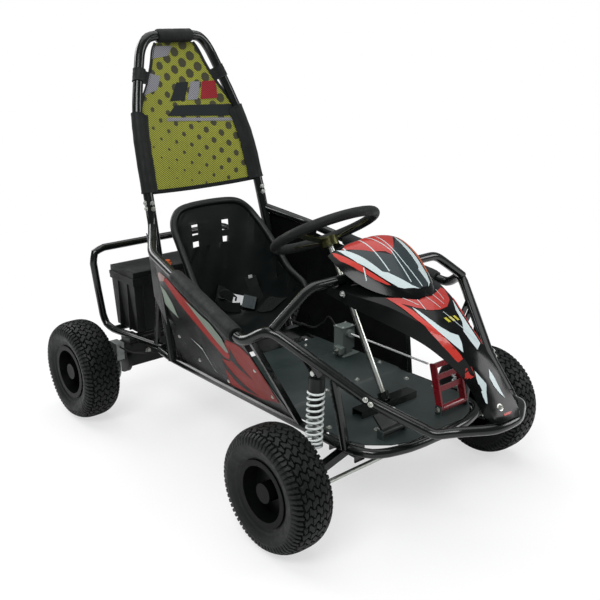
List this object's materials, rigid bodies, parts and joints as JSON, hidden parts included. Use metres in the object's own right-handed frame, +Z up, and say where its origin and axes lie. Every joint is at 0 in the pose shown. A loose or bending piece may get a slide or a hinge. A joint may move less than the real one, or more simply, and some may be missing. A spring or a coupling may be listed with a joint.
{
  "type": "off road go kart",
  "caption": "Single-seat off road go kart with a tube frame, roll hoop, mesh headrest, bucket seat, sprung steered front wheels, chain-driven rear axle and foot pedals.",
  "frame": {"origin": "centre of the footprint at ground level", "axes": "+Z up, -Y towards the nose, +X towards the driver's left"},
  "size_m": [0.936, 1.5789, 1.2386],
  "materials": {
    "frame_black": "gloss black powder coat",
    "plastic_black": "satin black moulded plastic",
    "gloss_black": "gloss black panel with red and white striping",
    "foam_black": "matt black closed-cell foam",
    "webbing_black": "woven black webbing",
    "tyre_black": "matt black rubber with a knobbly tread",
    "zinc": "bright zinc plate",
    "steel": "bare steel",
    "pedal_red": "red paint",
    "spring_white": "white powder coat",
    "mesh_yellow": "printed yellow-green open mesh with black edges",
    "floor_grey": "dark grey paint",
    "alloy": "cast alloy"
  },
  "bodies": {
    "chassis": {"base_frame": "frame_black", "side_frame_left": "frame_black", "side_frame_right": "frame_black", "nose_bumper": "frame_black", "dash_hoop": "frame_black", "rear_guard": "frame_black", "roll_hoop": "frame_black", "floor_pan": "floor_grey", "steering_bracket": "frame_black", "seat": "plastic_black", "belt_left": "webbing_black", "belt_right": "webbing_black", "belt_buckle": "steel", "headrest_mesh": "mesh_yellow", "hoop_pad": "foam_black", "arm_pad_left": "foam_black", "arm_pad_right": "foam_black", "side_panel_left": "gloss_black", "side_panel_right": "gloss_black", "nose_cone": "gloss_black", "hood": "gloss_black", "battery_box": "plastic_black", "battery_cells": "plastic_black", "axle_carrier": "frame_black", "motor": "alloy", "chain": "steel", "brake_caliper": "alloy", "master_cylinder": "alloy", "brake_hose": "foam_black"},
    "steering": {"steering_wheel": "foam_black", "steering_shaft": "zinc"},
    "tie_rod_joint_left": {"tie_rod_joint_left": "steel"},
    "tie_rod_left": {"tie_rod_left": "zinc"},
    "front_arm_left": {"front_arm_left": "frame_black"},
    "knuckle_left": {"knuckle_left": "frame_black"},
    "shock_body_left": {"shock_body_left": "plastic_black", "shock_spring_left": "spring_white"},
    "shock_rod_left": {"shock_rod_left": "steel"},
    "front_wheel_left": {"front_tyre_left": "tyre_black", "front_rim_left": "frame_black"},
    "tie_rod_joint_right": {"tie_rod_joint_right": "steel"},
    "tie_rod_right": {"tie_rod_right": "zinc"},
    "front_arm_right": {"front_arm_right": "frame_black"},
    "knuckle_right": {"knuckle_right": "frame_black"},
    "shock_body_right": {"shock_body_right": "plastic_black", "shock_spring_right": "spring_white"},
    "shock_rod_right": {"shock_rod_right": "steel"},
    "front_wheel_right": {"front_tyre_right": "tyre_black", "front_rim_right": "frame_black"},
    "rear_axle": {"rear_axle": "steel", "rear_tyre_left": "tyre_black", "rear_tyre_right": "tyre_black", "rear_rim_left": "frame_black", "rear_rim_right": "frame_black"},
    "motor_sprocket": {"motor_sprocket": "steel"},
    "battery_lid": {"battery_lid": "plastic_black"},
    "buckle_button": {"buckle_button": "pedal_red"},
    "brake_pedal": {"brake_pedal": "pedal_red"},
    "brake_pushrod": {"brake_pushrod": "zinc"},
    "throttle_pedal": {"throttle_pedal": "plastic_black"}
  },
  "joints": [
    {"name": "steer", "type": "hinge", "parent": "chassis", "child": "steering", "pos_m": [0, -0.37279, 0.268], "axis": [0, 0.5, 0.866], "range_deg": [-30, 30]},
    {"name": "tie_rod_joint_left_turn", "type": "hinge", "parent": "steering", "child": "tie_rod_joint_left", "pos_m": [0.0089, -0.46382, 0.17033], "axis": [0, 0.5, 0.866], "range_deg": [-31, 31]},
    {"name": "tie_rod_left_tilt", "type": "hinge", "parent": "tie_rod_joint_left", "child": "tie_rod_left", "pos_m": [0.0089, -0.46382, 0.17033], "axis": [0, -1, 0], "range_deg": [-2, 3.2]},
    {"name": "front_arm_left_swing", "type": "hinge", "parent": "chassis", "child": "front_arm_left", "pos_m": [0.17, -0.39979, 0.19], "axis": [0, -1, 0], "range_deg": [-2, 4], "stiffness_Nm_per_rad": 900, "springref_deg": 1.15},
    {"name": "knuckle_left_turn", "type": "hinge", "parent": "front_arm_left", "child": "knuckle_left", "pos_m": [0.318, -0.39979, 0.1636], "axis": [0, 0, 1], "range_deg": [-17, 17]},
    {"name": "front_wheel_left_spin", "type": "hinge", "parent": "knuckle_left", "child": "front_wheel_left", "pos_m": [0.407, -0.39979, 0.16359], "axis": [1, 0, 0], "continuous": true},
    {"name": "shock_body_left_swing", "type": "hinge", "parent": "chassis", "child": "shock_body_left", "pos_m": [0.274, -0.39979, 0.432], "axis": [0, -1, 0], "range_deg": [-0.5, 0.6]},
    {"name": "shock_rod_left_slide", "type": "slide", "parent": "shock_body_left", "child": "shock_rod_left", "axis": [-0.059, 0, 0.9983], "range_m": [-0.0065, 0.0128], "deforming": ["shock_spring_left"]},
    {"name": "tie_rod_joint_right_turn", "type": "hinge", "parent": "steering", "child": "tie_rod_joint_right", "pos_m": [-0.0089, -0.46382, 0.17033], "axis": [0, 0.5, 0.866], "range_deg": [-31, 31]},
    {"name": "tie_rod_right_tilt", "type": "hinge", "parent": "tie_rod_joint_right", "child": "tie_rod_right", "pos_m": [-0.0089, -0.46382, 0.17033], "axis": [0, 1, 0], "range_deg": [-2, 3.2]},
    {"name": "front_arm_right_swing", "type": "hinge", "parent": "chassis", "child": "front_arm_right", "pos_m": [-0.17, -0.39979, 0.19], "axis": [0, 1, 0], "range_deg": [-2, 4], "stiffness_Nm_per_rad": 900, "springref_deg": 1.15},
    {"name": "knuckle_right_turn", "type": "hinge", "parent": "front_arm_right", "child": "knuckle_right", "pos_m": [-0.318, -0.39979, 0.1636], "axis": [0, 0, 1], "range_deg": [-17, 17]},
    {"name": "front_wheel_right_spin", "type": "hinge", "parent": "knuckle_right", "child": "front_wheel_right", "pos_m": [-0.407, -0.39979, 0.16359], "axis": [1, 0, 0], "continuous": true},
    {"name": "shock_body_right_swing", "type": "hinge", "parent": "chassis", "child": "shock_body_right", "pos_m": [-0.274, -0.39979, 0.432], "axis": [0, 1, 0], "range_deg": [-0.5, 0.6]},
    {"name": "shock_rod_right_slide", "type": "slide", "parent": "shock_body_right", "child": "shock_rod_right", "axis": [0.059, 0, 0.9983], "range_m": [-0.0065, 0.0128], "deforming": ["shock_spring_right"]},
    {"name": "rear_axle_spin", "type": "hinge", "parent": "chassis", "child": "rear_axle", "pos_m": [0, 0.62621, 0.16359], "axis": [1, 0, 0], "continuous": true},
    {"name": "motor_spin", "type": "hinge", "parent": "chassis", "child": "motor_sprocket", "pos_m": [0, 0.52521, 0.1913], "axis": [1, 0, 0], "continuous": true},
    {"name": "brake_pedal_press", "type": "hinge", "parent": "chassis", "child": "brake_pedal", "pos_m": [0, -0.50679, 0.266], "axis": [1, 0, 0], "range_deg": [0, 8], "stiffness_Nm_per_rad": 12, "springref_deg": -2.86},
    {"name": "brake_pushrod_slide", "type": "slide", "parent": "chassis", "child": "brake_pushrod", "axis": [-0.2463, -0.9612, 0.1244], "range_m": [0, 0.018]},
    {"name": "throttle_pedal_press", "type": "hinge", "parent": "chassis", "child": "throttle_pedal", "pos_m": [0, -0.50679, 0.266], "axis": [1, 0, 0], "range_deg": [0, 18], "stiffness_Nm_per_rad": 3, "springref_deg": -8.59},
    {"name": "battery_lid_open", "type": "hinge", "parent": "chassis", "child": "battery_lid", "pos_m": [0, 0.71521, 0.4403], "axis": [-1, 0, 0], "range_deg": [0, 60]},
    {"name": "buckle_button_press", "type": "slide", "parent": "chassis", "child": "buckle_button", "axis": [0.5561, 0.7658, -0.3229], "range_m": [0, 0.003], "stiffness_N_per_m": 250, "springref_m": -0.001}
  ],
  "couplings": [
    {"joint": "tie_rod_joint_left_turn", "follows": "steer", "ratio": -1.01},
    {"joint": "tie_rod_left_tilt", "follows": "front_arm_left_swing", "ratio": 0.49829},
    {"joint": "knuckle_left_turn", "follows": "steer", "ratio": 0.526},
    {"joint": "shock_body_left_swing", "follows": "front_arm_left_swing", "ratio": 0.0747},
    {"joint": "shock_rod_left_slide", "follows": "front_arm_left_swing", "m_per_rad": 0.118},
    {"joint": "tie_rod_joint_right_turn", "follows": "steer", "ratio": -1.01},
    {"joint": "tie_rod_right_tilt", "follows": "front_arm_right_swing", "ratio": 0.49829},
    {"joint": "knuckle_right_turn", "follows": "steer", "ratio": 0.526},
    {"joint": "shock_body_right_swing", "follows": "front_arm_right_swing", "ratio": 0.0747},
    {"joint": "shock_rod_right_slide", "follows": "front_arm_right_swing", "m_per_rad": 0.118},
    {"joint": "motor_spin", "follows": "rear_axle_spin", "ratio": 4},
    {"joint": "brake_pushrod_slide", "follows": "brake_pedal_press", "m_per_rad": 0.11966}
  ]
}
